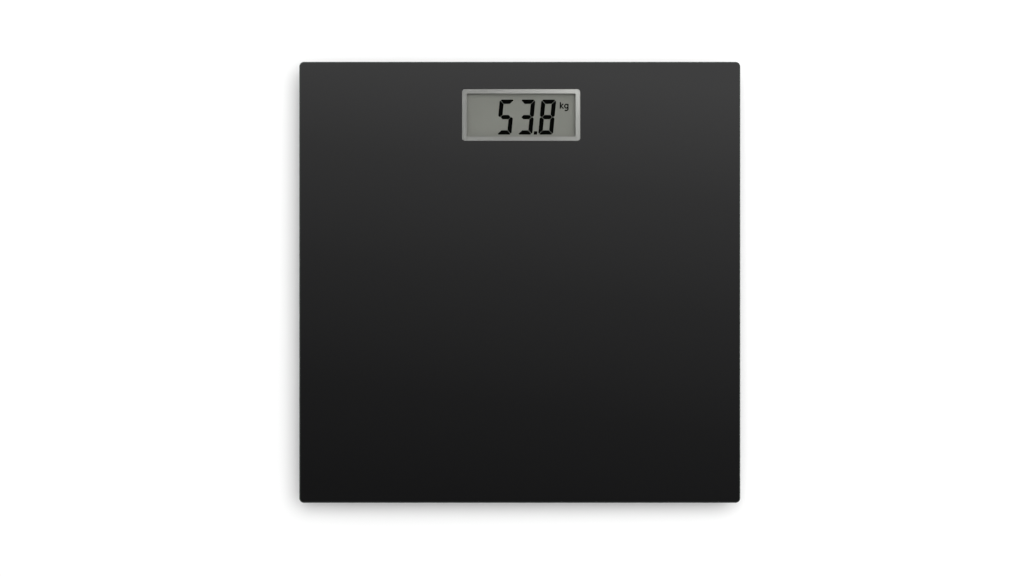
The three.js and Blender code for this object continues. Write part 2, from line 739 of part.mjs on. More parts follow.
// Out of a foot from its gauges and up to the ducts: distances from the foot's middle, with their heights.
const LEAD_OUT = [
  [10.8, LOAD_CELL_TOP + 0.8],
  [12, LOAD_CELL_TOP + 0.8],
  [15.5, LEAD.z],
];
const LEAD_ON_BOARD = BOARD_TOP + LEAD.wire;

// From the rear foot's gauges straight in to the board, on the right-hand side.
function rearLeadPath() {
  const y = FOOT.pitch;
  return [
    ...LEAD_OUT.map(([out, z]) => point(FOOT.pitch - out, y, z)),
    point(LEAD.entry, y, LEAD.z),
    point(49, y, 12.2),
    point(46.5, y, LEAD_ON_BOARD),
    point(42.5, y, LEAD_ON_BOARD),
  ];
}

// From the front foot's gauges along the side, round a bend and in to the board, on the right-hand side.
function frontLeadPath() {
  const { bend, frontY } = LEAD;
  const x = FOOT.pitch;
  return [
    ...LEAD_OUT.map(([out, z]) => point(x, out - FOOT.pitch, z)),
    ...quarterTurn(x - bend, frontY - bend, LEAD.z, bend, 0),
    point(LEAD.entry, frontY, LEAD.z),
    point(49.5, frontY, 12.8),
    point(46.8, 78.8, 12.3),
    point(45.1, 80.7, 12),
    point(44.5, 83.5, 11.8),
    point(44.5, 97, LEAD_ON_BOARD),
    point(44.5, 103, LEAD_ON_BOARD),
  ];
}

const mirrored = (points) => points.map((p) => point(-p.x, p.y, p.z));

// A lead or a duct on the right-hand side, and its mirror image on the left.
function addPair(name, section, points, material) {
  addPart(`${name}_right`, swept(section, points), material);
  addPart(`${name}_left`, swept(section, mirrored(points)), material);
}

// Straight channels hold the leads up against the glass, with the front leads' bends left open.
function addWiring() {
  const z = GLUE_PLANE - DUCT.height;
  const { bend, frontY } = LEAD;
  const footEdge = FOOT.pitch - FOOT.flange - DUCT.gap;
  const housingEdge = HOUSING.width / 2 + DUCT.gap;
  const bendEdge = bend + DUCT.gap / 2;
  const ducts = {
    duct_rear: [point(footEdge, FOOT.pitch, z), point(housingEdge, FOOT.pitch, z)],
    duct_side: [point(FOOT.pitch, -footEdge, z), point(FOOT.pitch, frontY - bendEdge, z)],
    duct_cross: [point(FOOT.pitch - bendEdge, frontY, z), point(housingEdge, frontY, z)],
  };
  addPair("lead_rear", ribbonSection(), rearLeadPath(), leadGrey);
  addPair("lead_front", ribbonSection(), frontLeadPath(), leadGrey);
  for (const [name, points] of Object.entries(ducts)) addPair(name, ductSection(), points, blackPlastic);
}

addWiring();

export default scale;
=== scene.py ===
"""A digital bathroom scale from above: black-backed glass, a framed grey display and four feet."""
import math

import bmesh
import bpy
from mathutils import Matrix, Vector


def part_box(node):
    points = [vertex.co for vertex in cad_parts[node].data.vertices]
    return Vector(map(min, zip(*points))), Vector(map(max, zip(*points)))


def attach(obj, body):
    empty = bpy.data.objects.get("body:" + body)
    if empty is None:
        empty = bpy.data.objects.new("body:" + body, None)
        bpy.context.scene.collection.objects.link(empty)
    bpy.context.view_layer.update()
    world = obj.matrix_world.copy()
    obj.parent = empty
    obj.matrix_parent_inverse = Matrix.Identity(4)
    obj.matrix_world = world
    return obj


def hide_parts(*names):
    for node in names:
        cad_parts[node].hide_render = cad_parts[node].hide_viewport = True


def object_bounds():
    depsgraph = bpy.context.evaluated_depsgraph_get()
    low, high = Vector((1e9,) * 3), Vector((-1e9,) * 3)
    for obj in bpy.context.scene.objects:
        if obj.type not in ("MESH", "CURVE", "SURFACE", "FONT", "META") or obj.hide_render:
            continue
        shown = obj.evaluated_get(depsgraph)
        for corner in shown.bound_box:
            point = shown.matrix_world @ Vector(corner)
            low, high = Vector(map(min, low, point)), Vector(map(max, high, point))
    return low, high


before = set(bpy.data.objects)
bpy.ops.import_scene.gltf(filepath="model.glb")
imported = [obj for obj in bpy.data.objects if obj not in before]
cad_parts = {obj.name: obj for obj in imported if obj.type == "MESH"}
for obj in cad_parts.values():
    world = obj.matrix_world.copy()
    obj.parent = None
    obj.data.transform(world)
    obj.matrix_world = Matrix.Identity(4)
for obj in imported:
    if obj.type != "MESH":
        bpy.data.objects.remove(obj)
cad_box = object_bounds()
scene = bpy.context.scene
scene.view_settings.view_transform = "Standard"
MM = 0.001

BODY = "platform"  # the body that everything fixed rides on
BEZEL_LOW, BEZEL_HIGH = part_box("display_bezel")
DISPLAY = (BEZEL_LOW + BEZEL_HIGH) / 2
WINDOW = {"width": 76.5 * MM, "depth": 33.6 * MM, "corner": 2 * MM}  # the clear patch in the ink
FEET = ("rear_left", "rear_right", "front_left", "front_right")


# ---- Materials ----

INK_BLACK = (0.0028, 0.0028, 0.0030)
EDGE_GREEN = (0.013, 0.021, 0.017)
CLEAR = (0.96, 0.97, 0.96, 1.0)
LCD_GREY = (0.160, 0.157, 0.1465)
GLASS_IOR = 1.5
SHEEN_FROM = 0.06  # the coated window mirrors nothing until glass would reflect this share
TOP_LIMIT = 0.9  # the flat top is where the normal's Z is above this
NOISE_LOW, NOISE_HIGH = 0.3, 0.7  # most of a noise's values lie between these


def shade_of(color, factor):
    """The colour made paler or darker by a factor."""
    return [factor * part for part in color]


def set_stops(ramp, stops):
    """Gives a colour ramp its (position, colour) stops."""
    elements = ramp.color_ramp.elements
    while len(elements) < len(stops):
        elements.new(1.0)
    for element, (position, color) in zip(elements, stops):
        element.position = position
        element.color = (*color, 1.0)


class Look:
    """A material built around one Principled shader, with short calls for the detail on it."""

    def __init__(self, name, color, roughness, **sockets):
        self.material = bpy.data.materials.new(name)
        self.material.use_nodes = True
        self.nodes = self.material.node_tree.nodes
        self.links = self.material.node_tree.links
        self.shader = self.nodes["Principled BSDF"]
        self.color = (*color, 1.0)
        self.roughness = roughness
        self.shader.inputs["Base Color"].default_value = self.color
        self.shader.inputs["Roughness"].default_value = roughness
        for socket, value in sockets.items():
            self.shader.inputs[socket.replace("_", " ")].default_value = value

    def node(self, kind, inputs=None, **settings):
        node = self.nodes.new("ShaderNode" + kind)
        for key, value in settings.items():
            setattr(node, key, value)
        for key, value in (inputs or {}).items():
            node.inputs[key].default_value = value
        return node

    def noise(self, grain, detail=3.0, stretch=(1, 1, 1)):
        """Soft noise whose features are about as big as the grain, in metres."""
        squeeze = self.node("Mapping", {"Scale": stretch})
        self.links.new(self.node("TexCoord").outputs["Object"], squeeze.inputs["Vector"])
        noise = self.node("TexNoise", {"Scale": 1 / grain, "Detail": detail})
        self.links.new(squeeze.outputs["Vector"], noise.inputs["Vector"])
        return noise.outputs["Fac"]

    def spread(self, factor, low, high):
        """The middle of the factor's range stretched to run from low to high."""
        reach = self.node("MapRange", {"From Min": NOISE_LOW, "From Max": NOISE_HIGH})
        reach.inputs["To Min"].default_value = low
        reach.inputs["To Max"].default_value = high
        self.links.new(factor, reach.inputs["Value"])
        return reach.outputs["Result"]

    def mottle(self, factor, other):
        """Drifts the base colour towards another one."""
        mix = self.node("Mix", data_type="RGBA")
        first, second = mix.inputs[6], mix.inputs[7]  # the sockets of its two colours
        first.default_value = self.color
        second.default_value = (*other, 1.0)
        self.links.new(self.spread(factor, 0.0, 1.0), mix.inputs[0])
        self.links.new(mix.outputs[2], self.shader.inputs["Base Color"])
        return self

    def uneven(self, factor, amount):
        """Varies the roughness on both sides of its value."""
        result = self.spread(factor, self.roughness - amount, self.roughness + amount)
        self.links.new(result, self.shader.inputs["Roughness"])
        return self

    def bump(self, factor, depth, strength=0.5):
        bump = self.node("Bump", {"Strength": strength, "Distance": depth})
        self.links.new(factor, bump.inputs["Height"])
        normal = self.shader.inputs["Normal"]
        if normal.is_linked:
            self.links.new(normal.links[0].from_socket, bump.inputs["Normal"])
        self.links.new(bump.outputs["Normal"], normal)
        return self

    def layered(self, shader, *layers):
        """The shader with others laid over it in turn, each as far as its factor says."""
        for factor, other in layers:
            choice = self.node("MixShader")
            self.links.new(factor, choice.inputs[0])
            self.links.new(shader, choice.inputs[1])
            self.links.new(other.outputs[0], choice.inputs[2])
            shader = choice.outputs[0]
        return shader


def over_window(look):
    """1 over the display's window and 0 elsewhere."""
    corner = WINDOW["corner"]
    reach = (WINDOW["width"] / 2 - corner, WINDOW["depth"] / 2 - corner, 1.0)
    steps = (("SUBTRACT", DISPLAY), ("ABSOLUTE", None), ("SUBTRACT", reach), ("MAXIMUM", (0, 0, 0)))
    place = look.node("TexCoord").outputs["Object"]
    for operation, value in steps:
        step = look.node("VectorMath", {1: value} if value else None, operation=operation)
        look.links.new(place, step.inputs[0])
        place = step.outputs[0]
    length = look.node("VectorMath", operation="LENGTH")
    look.links.new(place, length.inputs[0])
    inside = look.node("Math", {1: corner}, operation="LESS_THAN")
    look.links.new(length.outputs["Value"], inside.inputs[0])
    return inside.outputs[0]


def on_top(look):
    """1 on the flat top, met from outside, and 0 elsewhere."""
    facing = look.node("SeparateXYZ")
    look.links.new(look.node("TexCoord").outputs["Normal"], facing.inputs[0])
    up = look.node("Math", {1: TOP_LIMIT}, operation="GREATER_THAN")
    look.links.new(facing.outputs["Z"], up.inputs[0])
    return up.outputs[0]


def platform_glass():
    """Glass over fired black ink: a black mirror on top and dark green at its edges.

    Over the display it is clear and coated against reflections, so it mirrors only at low angles.
    There and at the edges the lamps' light goes straight through.
    """
    look = Look("platform_glass", EDGE_GREEN, 0.1, IOR=GLASS_IOR)
    look.mottle(look.noise(0.004), shade_of(EDGE_GREEN, 1.3)).uneven(look.noise(0.002), 0.04)
    polished = {"Roughness": 0.0, "IOR": GLASS_IOR}
    backed = look.node("BsdfPrincipled", {"Base Color": (*INK_BLACK, 1.0), **polished})
    coated = look.node("BsdfRefraction", {"Color": CLEAR, **polished})
    sheen = look.node("BsdfAnisotropic", {"Color": CLEAR, "Roughness": 0.0})
    straight = look.node("BsdfTransparent", {"Color": CLEAR})
    grazing = look.node("MapRange", {"From Min": SHEEN_FROM, "From Max": 1.0})
    fresnel = look.node("Fresnel", {"IOR": GLASS_IOR})
    look.links.new(fresnel.outputs[0], grazing.inputs["Value"])
    path = look.node("LightPath")
    lamps = look.node("Math", operation="MAXIMUM")
    look.links.new(path.outputs["Is Shadow Ray"], lamps.inputs[0])
    look.links.new(path.outputs["Is Diffuse Ray"], lamps.inputs[1])
    lamplight = (lamps.outputs[0], straight)
    window = look.layered(coated.outputs[0], (grazing.outputs["Result"], sheen), lamplight)
    backing = look.layered(look.shader.outputs[0], lamplight, (on_top(look), backed))
    choice = look.node("MixShader")
    for socket, source in zip(choice.inputs, (over_window(look), backing, window)):
        look.links.new(source, socket)
    look.links.new(choice.outputs[0], look.nodes["Material Output"].inputs["Surface"])
    return look


def moulded(name, color, roughness=0.5):
    """Spark-eroded plastic: a fine even grain and a faint cloudiness."""
    look = Look(name, color, roughness)
    look.mottle(look.noise(0.012), shade_of(color, 1.35))
    look.uneven(look.noise(0.004), 0.06)
    return look.bump(look.noise(0.00035, detail=2.0), 0.00005, strength=0.35)


def metal(name, color, roughness, stretch=(1, 1, 1)):
    """Bare or plated metal: cloudy, a little darker in places, and faintly grained."""
    look = Look(name, color, roughness, Metallic=1.0)
    look.mottle(look.noise(0.003, stretch=stretch), shade_of(color, 0.8))
    look.uneven(look.noise(0.0009, stretch=stretch), 0.09)
    return look.bump(look.noise(0.0004, stretch=stretch), 0.00001, strength=0.25)


def rubber(name, color):
    """Dull rubber or foam with a fine grain."""
    look = Look(name, color, 0.85, Specular_IOR_Level=0.3)
    look.mottle(look.noise(0.006), shade_of(color, 1.6))
    return look.bump(look.noise(0.0003), 0.00004)


# Painted light on the frame: its brightness from its front left-hand corner (0) to its rear
# right-hand corner (1), paler towards the key lamp.
FRAME_PAINTED_LIGHT_STOPS = ((0.0, 0.178), (0.25, 0.178), (0.5, 0.198), (0.75, 0.28), (1.0, 0.388))
FRAME_PAINTED_LIGHT_SHARES = (0.6, 0.4)  # how much of that way runs along X, and along Y
FRAME_TINT = (1.0, 0.97, 0.965)


def painted_light_frame():
    """The silver-grey frame: finely grained, with painted light that makes it paler towards its
    rear right-hand corner, where the key lamp stands.
    """
    look = Look("satin_silver_painted_light", (0.2, 0.2, 0.19), 0.42, Specular_IOR_Level=0.2)
    place = look.node("SeparateXYZ")
    look.links.new(look.node("TexCoord").outputs["Object"], place.inputs[0])
    total = look.node("Math", operation="ADD")
    for i, share in enumerate(FRAME_PAINTED_LIGHT_SHARES):
        span = {"From Min": BEZEL_LOW[i], "From Max": BEZEL_HIGH[i], "To Max": share}
        along = look.node("MapRange", span)
        look.links.new(place.outputs[i], along.inputs["Value"])
        look.links.new(along.outputs["Result"], total.inputs[i])
    # The ramp paints light and shade into the base colour, paler towards the key lamp over the rear
    # right.
    ramp = look.node("ValToRGB")
    set_stops(ramp, [(position, shade_of(FRAME_TINT, value)) for position, value in FRAME_PAINTED_LIGHT_STOPS])
    look.links.new(total.outputs[0], ramp.inputs["Fac"])
    look.links.new(ramp.outputs["Color"], look.shader.inputs["Base Color"])
    look.uneven(look.noise(0.0006), 0.08)
    return look.bump(look.noise(0.0002), 0.00002, strength=0.15)


glass = platform_glass()
ink_top = Look("black_ink", INK_BLACK, 0.6, Specular_IOR_Level=0.0)
ink_top.mottle(ink_top.noise(0.02), (0.0040, 0.0040, 0.0042))
ink_back = Look("black_ink_back", (0.010, 0.010, 0.011), 0.38)
ink_back.mottle(ink_back.noise(0.03), (0.015, 0.015, 0.016))
ink_back.bump(ink_back.noise(0.0012), 0.00003, strength=0.3)
silver = painted_light_frame()
lcd = Look("lcd_grey", LCD_GREY, 0.5, Specular_IOR_Level=0.1)
lcd.mottle(lcd.noise(0.02), shade_of(LCD_GREY, 0.96))
lcd.bump(lcd.noise(0.00025), 0.00001, strength=0.3)
segment = Look("lcd_segment", (0.0012, 0.0012, 0.0012), 0.5, Specular_IOR_Level=0.0)
segment.mottle(segment.noise(0.004), (0.002, 0.002, 0.0018))
print_grey = Look("printed_grey", (0.27, 0.27, 0.27), 0.5, Specular_IOR_Level=0.0)
print_grey.mottle(print_grey.noise(0.0008), (0.33, 0.33, 0.33))
housing_black = moulded("housing_abs", (0.016, 0.016, 0.017))
door_black = moulded("door_abs", (0.020, 0.020, 0.021), 0.45)
button_grey = moulded("button_abs", (0.085, 0.088, 0.092), 0.42)
cup_grey = moulded("cup_abs", (0.045, 0.046, 0.048), 0.5)
foot_rubber = rubber("foot_rubber", (0.010, 0.010, 0.010))
foam = rubber("foam", (0.06, 0.06, 0.065))
silicone = Look("silicone", (0.78, 0.78, 0.75), 0.55, Subsurface_Weight=0.2, Subsurface_Scale=0.001)
silicone.mottle(silicone.noise(0.002), (0.70, 0.70, 0.66))
silicone.bump(silicone.noise(0.001), 0.0001, strength=0.3)
board_green = Look("solder_mask", (0.014, 0.10, 0.045), 0.35)
board_green.mottle(board_green.noise(0.003, stretch=(1, 6, 1)), (0.022, 0.14, 0.06))
epoxy = Look("black_epoxy", (0.008, 0.008, 0.009), 0.28)
epoxy.mottle(epoxy.noise(0.002), (0.013, 0.013, 0.014))
epoxy.bump(epoxy.noise(0.002), 0.0001, strength=0.3)
steel = metal("plated_steel", (0.62, 0.63, 0.64), 0.3)
cell_steel = metal("cell_steel", (0.66, 0.66, 0.65), 0.26, stretch=(1, 8, 1))
lead_grey = Look("lead_pvc", (0.24, 0.245, 0.255), 0.5)
lead_grey.mottle(lead_grey.noise(0.01), (0.30, 0.305, 0.31))
lead_grey.bump(lead_grey.noise(0.0008), 0.00003, strength=0.3)
label_silver = Look("label_film", (0.46, 0.465, 0.47), 0.38, Metallic=0.35)
label_silver.mottle(label_silver.noise(0.004, stretch=(1, 12, 1)), (0.52, 0.525, 0.53))
label_ink = Look("label_ink", (0.03, 0.03, 0.032), 0.5)
label_ink.mottle(label_ink.noise(0.001), (0.05, 0.05, 0.052))

# Each look by the start of the names of the nodes that wear it.
NODE_LOOKS = {
    "glass_platform": glass,
    "display_bezel": silver,
    "lcd_panel": lcd,
    "zebra_strip": foam,
    "lcd_cushion": foam,
    "circuit_board": board_green,
    "controller_chip": epoxy,
    "crystal": steel,
    "switch_body": epoxy,
    "switch_plunger": button_grey,
    "unit_button": button_grey,
    "display_housing": housing_black,
    "rear_cover": housing_black,
    "battery_door": door_black,
    "rating_label": label_silver,
    "coin_cell": cell_steel,
    "battery_contact": steel,
    "cover_screw": steel,
    "board_screw": steel,
    "foot_housing": housing_black,
    "load_cell": steel,
    "strain_gauge": silicone,
    "foot_cup": cup_grey,
    "foot_pad": foot_rubber,
    "lead": lead_grey,
    "duct": housing_black,
}


# ---- Finishing the CAD nodes ----


WELD_GAP = 0.001 * MM
FLAT_ANGLE = math.radians(0.5)  # faces that lean apart by less are joined into one
SHARP_ANGLE = math.radians(30)  # edges that turn by more are rounded


def soften(node, width):
    """Joins the node's faces up, rounds its sharp edges and shades its curves smooth."""
    mesh = node.data
    for left_over in ("custom_normal", "sharp_edge"):
        if left_over in mesh.attributes:
            mesh.attributes.remove(mesh.attributes[left_over])
    mesh.shade_smooth()
    weld = node.modifiers.new("weld", "WELD")
    weld.merge_threshold = WELD_GAP
    plane = node.modifiers.new("plane", "DECIMATE")
    plane.decimate_type = "DISSOLVE"
    plane.angle_limit = FLAT_ANGLE
    bevel = node.modifiers.new("bevel", "BEVEL")
    bevel.width = width
    bevel.segments = 2
    bevel.limit_method = "ANGLE"
    bevel.angle_limit = SHARP_ANGLE
    bevel.use_clamp_overlap = True
    bevel.harden_normals = True


FINE_EDGE = 0.05  # the rounding of every node that EDGE_WIDTHS leaves out, in millimetres
EDGE_WIDTHS = {
    "glass_platform": 0.12,
    "display_bezel": 0.2,
    "rear_cover": 0.2,
    "display_housing": 0.3,
    "battery_door": 0.15,
    "unit_button": 0.15,
    "duct": 0.15,
    "foot_housing": 0.3,
    "foot_cup": 0.3,
}


def look_for(table, name):
    """The value whose key starts the node's name, or None; the longest such key wins."""
    keys = [key for key in table if name.startswith(key)]
    return table[max(keys, key=len)] if keys else None


for name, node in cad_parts.items():
    soften(node, (look_for(EDGE_WIDTHS, name) or FINE_EDGE) * MM)
    if name != "printed_backing":
        node.data.materials.clear()
        node.data.materials.append(look_for(NODE_LOOKS, name).material)


# ---- Building pieces ----


def square(half):
    """A square's corners about its middle, anticlockwise."""
    return [(-half, -half), (half, -half), (half, half), (-half, half)]


def mesh_piece(name, look, body, faces_of):
    """A piece whose faces a function adds to an empty bmesh."""
    mesh = bpy.data.meshes.new(name)
    shape = bmesh.new()
    faces_of(shape)
    bmesh.ops.recalc_face_normals(shape, faces=shape.faces)
    shape.to_mesh(mesh)
    shape.free()
    piece = bpy.data.objects.new(name, mesh)
    scene.collection.objects.link(piece)
    mesh.materials.append(look.material)
    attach(piece, body)
    return piece


def add_prism(shape, outline, bottom, top):
    """A flat-topped solid over an outline that runs anticlockwise."""
    lower = [shape.verts.new((x, y, bottom)) for x, y in outline]
    upper = [shape.verts.new((x, y, top)) for x, y in outline]
    shape.faces.new(upper)
    shape.faces.new(lower[::-1])
    for i in range(len(outline)):
        j = (i + 1) % len(outline)
        shape.faces.new((lower[i], lower[j], upper[j], upper[i]))


# ---- The display's reading ----

LCD_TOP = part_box("lcd_panel")[1].z
SEGMENT_LOW, SEGMENT_HIGH = LCD_TOP + 0.01 * MM, LCD_TOP + 0.05 * MM
READING = "538"  # shown with a point before the last digit
DIGIT = {
    "width": 9.65 * MM,
    "height": 22.7 * MM,
    "stroke": 2.78 * MM,
    "gap": 0.14 * MM,  # half the space between two segments
    "cut": 1.1 * MM,  # how much an outer corner is cut off
}
MIDDLE_TIP = 1.5  # how many gaps the middle bar's tips stop short of the uprights' middle lines
NOTCH_IN, NOTCH_OUT, NOTCH_UP = 0.55, 0.25, 0.3  # an upright's end at the middle bar, in strokes
DIGIT_PITCH = 13.5 * MM
LAST_DIGIT = Vector((16.9, -1.15)) * MM  # its middle, from the display's middle
SLANT = math.tan(math.radians(5.3))
POINT_HALF = 1.1 * MM
POINT_LEFT = 0.84 * MM  # how far the point stands left of the middle between two digits
SEGMENTS = {"5": "afgcd", "3": "abgcd", "8": "abcdefg"}


def segment_outline(which):
    """One of the seven segments, about the digit's middle, its ends mitred to leave even gaps."""
    w, h = DIGIT["width"] / 2, DIGIT["height"] / 2
    t, g, c = DIGIT["stroke"], DIGIT["gap"], DIGIT["cut"]
    if which in "ad":
        left = [(c + g, 0), (c / 2 + g, c / 2), (t + g, t)]
        points = [(x - w, y - h) for x, y in left + [(2 * w - x, y) for x, y in reversed(left)]]
        return points if which == "d" else [(x, -y) for x, y in reversed(points)]
    if which == "g":
        tip, side = w - t / 2 - MIDDLE_TIP * g, w - t - g
        return [(-tip, 0), (-side, -t / 2), (side, -t / 2), (tip, 0), (side, t / 2), (-side, t / 2)]
    points = [(w - t, t / 2 + g), (w - NOTCH_IN * t, g), (w - NOTCH_OUT * t, g)]
    points += [(w, NOTCH_UP * t + g), (w, h - c - g), (w - c / 2, h - c / 2 - g)]
    points.append((w - t, h - t - g))
    flip_x, flip_y = which in "ef", which in "ce"
    points = [(-x if flip_x else x, -y if flip_y else y) for x, y in points]
    return points[::-1] if flip_x != flip_y else points


def add_leaning(shape, centre, outline):
    """A solid of the digits' thickness over an outline about a centre, leaning as the digits do."""
    places = [(centre.x + x + SLANT * y, centre.y + y) for x, y in outline]
    add_prism(shape, places, SEGMENT_LOW, SEGMENT_HIGH)


def digit_faces(text, last):
    """The digits of a number, right-aligned on the last one's middle."""

    def faces_of(shape):
        places = len(text) - 1
        for i, character in enumerate(text):
            centre = last - Vector(((places - i) * DIGIT_PITCH, 0))
            for which in SEGMENTS[character]:
                add_leaning(shape, centre, segment_outline(which))

    return faces_of


def point_faces(centre):
    """The decimal point: a small leaning square."""

    def faces_of(shape):
        add_leaning(shape, centre, square(POINT_HALF))

    return faces_of


# The strokes of "kg", in millimetres from the display's middle.
K_STEM = ((25.45, 8.6), (25.45, 4.35))
K_ARMS = ((27.3, 7.5), (25.8, 6.0), (27.5, 4.35))
G_BOWL = ((30.35, 6.6), (29.7, 7.15), (28.8, 7.05), (28.25, 6.4), (28.25, 5.5), (28.8, 4.85),
          (29.6, 4.7), (30.35, 5.3))
G_TAIL = ((30.35, 7.4), (30.35, 3.9), (29.9, 3.3), (29.2, 3.1), (28.2, 3.25))
UNIT_STROKE_HALF = 0.42 * MM
UNIT_FLATNESS = 0.06


def unit_sign():
    """The unit sign as flattened round strokes."""
    curve = bpy.data.curves.new("lcd_unit", "CURVE")
    curve.dimensions = "3D"
    curve.bevel_depth = UNIT_STROKE_HALF
    curve.bevel_resolution = 3
    curve.use_fill_caps = True
    for stroke in (K_STEM, K_ARMS, G_BOWL, G_TAIL):
        spline = curve.splines.new("POLY")
        spline.points.add(len(stroke) - 1)
        for point, (x, y) in zip(spline.points, stroke):
            point.co = (x * MM, y * MM, 0, 1)
    curve.materials.append(segment.material)
    sign = bpy.data.objects.new("lcd_unit", curve)
    sign.location = (DISPLAY.x, DISPLAY.y, (SEGMENT_LOW + SEGMENT_HIGH) / 2)
    sign.scale.z = UNIT_FLATNESS
    scene.collection.objects.link(sign)
    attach(sign, BODY)
    return sign


def show_reading():
    last = DISPLAY.to_2d() + LAST_DIGIT
    digits = mesh_piece("lcd_digits", segment, BODY, digit_faces(READING, last))
    bottom = last.y - DIGIT["height"] / 2
    point = Vector((last.x - DIGIT_PITCH / 2 - POINT_LEFT, bottom + POINT_HALF))
    dot = mesh_piece("lcd_point", segment, BODY, point_faces(point))
    for piece in (digits, dot, unit_sign()):
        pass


show_reading()


# ---- The ink under the glass, and the tick marks printed in it ----

INK_LOW, INK_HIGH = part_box("printed_backing")
INK_CORNER = 2.4 * MM
INSIDE_GLASS = 0.02 * MM  # the ink is fused to the glass, so its face lies just inside


def rounded_outline(centre, width, depth, corner, steps=8):
    """A rectangle's outline with round corners, anticlockwise."""
    points = []
    for quarter, (sx, sy) in enumerate(((1, 1), (-1, 1), (-1, -1), (1, -1))):
        x = centre[0] + sx * (width / 2 - corner)
        y = centre[1] + sy * (depth / 2 - corner)
        for i in range(steps + 1):
            angle = math.pi / 2 * (quarter + i / steps)
            points.append((x + corner * math.cos(angle), y + corner * math.sin(angle)))
    return points


def ink_faces(shape):
    """A sheet with the display's window left open."""
    size = INK_HIGH - INK_LOW
    middle = (INK_LOW + INK_HIGH) / 2
    outer = rounded_outline(middle, size.x, size.y, INK_CORNER)
    inner = rounded_outline(DISPLAY, **WINDOW)
    for z, material in ((INK_HIGH.z + INSIDE_GLASS, 0), (INK_LOW.z, 1)):
        rings = [[shape.verts.new((x, y, z)) for x, y in ring] for ring in (outer, inner)]
        sides = [(ring[i], ring[i - 1]) for ring in rings for i in range(len(ring))]
        edges = [shape.edges.new(side) for side in sides]
        filled = bmesh.ops.triangle_fill(shape, use_beauty=True, edges=edges)["geom"]
        for face in filled:
            if isinstance(face, bmesh.types.BMFace):
                face.material_index = material
    shape.verts.ensure_lookup_table()
    count = len(outer) + len(inner)
    for start, ring in ((0, outer), (len(outer), inner)):
        for i in range(len(ring)):
            a, b = start + i, start + (i + 1) % len(ring)
            side = shape.faces.new([shape.verts[k] for k in (a, b, count + b, count + a)])
            side.material_index = 1


ink = mesh_piece("ink_layer", ink_top, BODY, ink_faces)
ink.data.materials.append(ink_back.material)
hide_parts("printed_backing")

TICKS = {
    "count": 25,
    "tall_every": 6,
    "pitch": 1.98 * MM,
    "y": -125.6 * MM,
    "width": 0.62 * MM,
    "corner": 0.25 * MM,
    "short": 2.6 * MM,
    "tall": 5.0 * MM,
    "thickness": 0.01 * MM,
}


def tick_faces(shape):
    """A plain ruler of short ticks, with a tall one at regular places."""
    z = INK_HIGH.z + INSIDE_GLASS
    half = (TICKS["count"] - 1) / 2
    foot = TICKS["y"] - TICKS["tall"] / 2
    for i in range(TICKS["count"]):
        x = (i - half) * TICKS["pitch"]
        height = TICKS["short"] if i % TICKS["tall_every"] else TICKS["tall"]
        middle = (x, foot + height / 2)
        bar = rounded_outline(middle, TICKS["width"], height, TICKS["corner"], steps=3)
        add_prism(shape, bar, z, z + TICKS["thickness"])


ticks = mesh_piece("tick_marks", print_grey, BODY, tick_faces)


# ---- The rubber foot pads ----

# In millimetres: the dish's radius and depth, the three grooves, and the radius of the lip.
PAD = {
    "dish": 6.0,
    "rise": 0.6,
    "grooves": (8.8, 11.2, 13.6),
    "groove_width": 1.0,
    "groove_depth": 0.5,
    "lip": 0.8,
}
PAD_STEPS = 64
PAD_CREASE = math.radians(35)  # edges that turn by more are shaded sharp


def pad_profile(radius, height):
    """Radius and height in millimetres, from the dish out, round the lip and up to the top."""
    points = [(PAD["dish"], PAD["rise"]), (PAD["dish"] + PAD["rise"], 0)]
    half, depth = PAD["groove_width"] / 2, PAD["groove_depth"]
    for middle in PAD["grooves"]:
        points += [(middle - half, 0), (middle - half / 2, depth)]
        points += [(middle + half / 2, depth), (middle + half, 0)]
    for degrees in (0, 30, 60, 90):
        angle = math.radians(degrees)
        out, up = PAD["lip"] * math.sin(angle), PAD["lip"] * (1 - math.cos(angle))
        points.append((radius - PAD["lip"] + out, up))
    return points + [(radius, height)]


def pad_faces(low, high):
    """The profile turned about the pad's middle."""

    def faces_of(shape):
        radius, height = (high.x - low.x) / 2 / MM, (high.z - low.z) / MM
        middle = (low + high) / 2
        rings = []
        for r, z in pad_profile(radius, height):
            ring = []
            for i in range(PAD_STEPS):
                angle = 2 * math.pi * i / PAD_STEPS
                x, y = middle.x + r * MM * math.cos(angle), middle.y + r * MM * math.sin(angle)
                ring.append(shape.verts.new((x, y, low.z + z * MM)))
            rings.append(ring)
        for inner, outer in zip(rings, rings[1:]):
            for i in range(PAD_STEPS):
                j = (i + 1) % PAD_STEPS
                shape.faces.new((inner[i], inner[j], outer[j], outer[i]))
        shape.faces.new(rings[0])
        shape.faces.new(rings[-1])

    return faces_of


for place in FEET:
    shape_of_pad = pad_faces(*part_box(f"foot_pad_{place}"))
    pad = mesh_piece(f"rubber_pad_{place}", foot_rubber, f"foot_{place}", shape_of_pad)
    pad.data.shade_smooth()
    pad.data.set_sharp_from_angle(angle=PAD_CREASE)
    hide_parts(f"foot_pad_{place}")


# ---- The rating label's print ----

LABEL_LOW, LABEL_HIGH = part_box("rating_label")
LABEL = {"margin": 1.6 * MM, "rule": 0.25 * MM, "bar": 0.9 * MM, "thickness": 0.01 * MM}
# Where the two bars of each row start and stop, as shares of the label's width inside its margin.
ROW_ENDS = (
    (0.06, 0.30, 0.36, 0.62),
    (0.06, 0.22, 0.36, 0.74),
    (0.06, 0.27, 0.36, 0.55),
    (0.06, 0.24, 0.36, 0.69),
)


